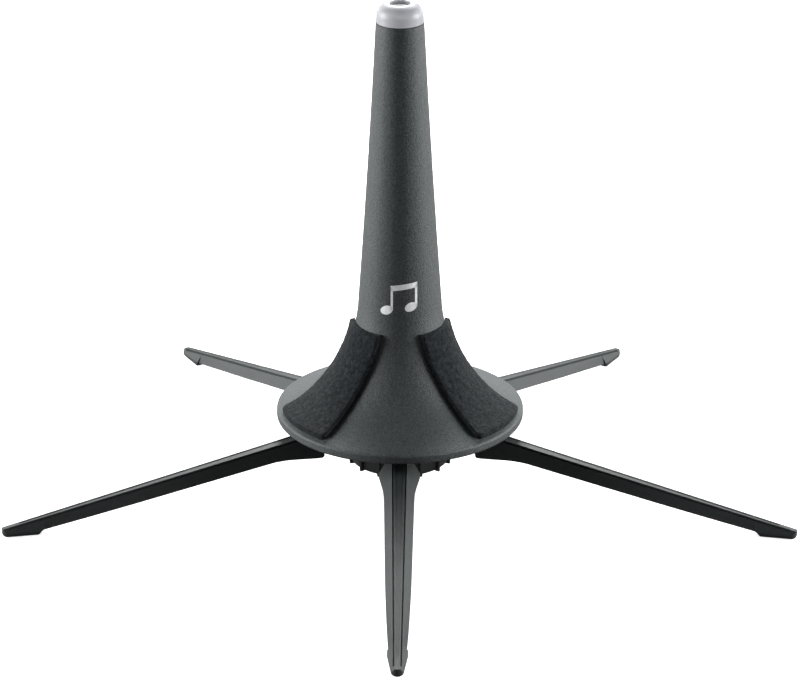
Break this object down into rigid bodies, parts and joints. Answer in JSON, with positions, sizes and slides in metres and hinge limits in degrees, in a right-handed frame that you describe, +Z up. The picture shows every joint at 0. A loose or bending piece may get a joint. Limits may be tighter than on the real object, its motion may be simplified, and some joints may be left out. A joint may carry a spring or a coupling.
{
  "type": "trumpet stand",
  "caption": "Folding in-bell trumpet stand: tapered cone with a wide padded flare and a soft tip, on a hub with slim hinged legs that fold up to nest inside the cone.",
  "frame": {"origin": "on the floor under the cone axis, with the legs open", "axes": "+Z up along the cone axis; the first leg points to -Y; +X to the right seen from that leg"},
  "size_m": [0.314, 0.299, 0.204],
  "materials": {
    "cone_plastic": "dark charcoal moulded plastic with a fine even grain",
    "leg_plastic": "satin black moulded plastic",
    "hub_plastic": "satin black moulded plastic",
    "cap_rubber": "light grey soft rubber, satin",
    "felt": "black needled felt",
    "steel": "bright steel"
  },
  "bodies": {
    "base": {"base_hub": "hub_plastic", "grip_knob": "hub_plastic", "knob_screw": "steel", "hinge_pin_1": "steel", "hinge_pin_2": "steel", "hinge_pin_3": "steel", "hinge_pin_4": "steel", "hinge_pin_5": "steel"},
    "cone": {"cone_shell": "cone_plastic", "cone_collar": "hub_plastic", "tip_cap": "cap_rubber", "felt_pad_1": "felt", "felt_pad_2": "felt", "felt_pad_3": "felt"},
    "leg_body_1": {"leg_1": "leg_plastic"},
    "leg_body_2": {"leg_2": "leg_plastic"},
    "leg_body_3": {"leg_3": "leg_plastic"},
    "leg_body_4": {"leg_4": "leg_plastic"},
    "leg_body_5": {"leg_5": "leg_plastic"}
  },
  "joints": [
    {"name": "cone_lift", "type": "slide", "parent": "base", "child": "cone", "axis": [0, 0, 1], "range_m": [0, 0.18]},
    {"name": "leg_1_fold", "type": "hinge", "parent": "base", "child": "leg_body_1", "pos_m": [0, -0.0124, 0.024], "axis": [-1, 0, 0], "range_deg": [0, 101.7]},
    {"name": "leg_2_fold", "type": "hinge", "parent": "base", "child": "leg_body_2", "pos_m": [0.01179, -0.00383, 0.024], "axis": [-0.309, -0.9511, 0], "range_deg": [0, 101.7]},
    {"name": "leg_3_fold", "type": "hinge", "parent": "base", "child": "leg_body_3", "pos_m": [0.00729, 0.01003, 0.024], "axis": [0.809, -0.5878, 0], "range_deg": [0, 101.7]},
    {"name": "leg_4_fold", "type": "hinge", "parent": "base", "child": "leg_body_4", "pos_m": [-0.00729, 0.01003, 0.024], "axis": [0.809, 0.5878, 0], "range_deg": [0, 101.7]},
    {"name": "leg_5_fold", "type": "hinge", "parent": "base", "child": "leg_body_5", "pos_m": [-0.01179, -0.00383, 0.024], "axis": [-0.309, 0.9511, 0], "range_deg": [0, 101.7]}
  ],
  "couplings": [
    {"joint": "leg_1_fold", "follows": "cone_lift", "rad_per_m": 9.8514},
    {"joint": "leg_2_fold", "follows": "cone_lift", "rad_per_m": 9.8514},
    {"joint": "leg_3_fold", "follows": "cone_lift", "rad_per_m": 9.8514},
    {"joint": "leg_4_fold", "follows": "cone_lift", "rad_per_m": 9.8514},
    {"joint": "leg_5_fold", "follows": "cone_lift", "rad_per_m": 9.8514}
  ]
}
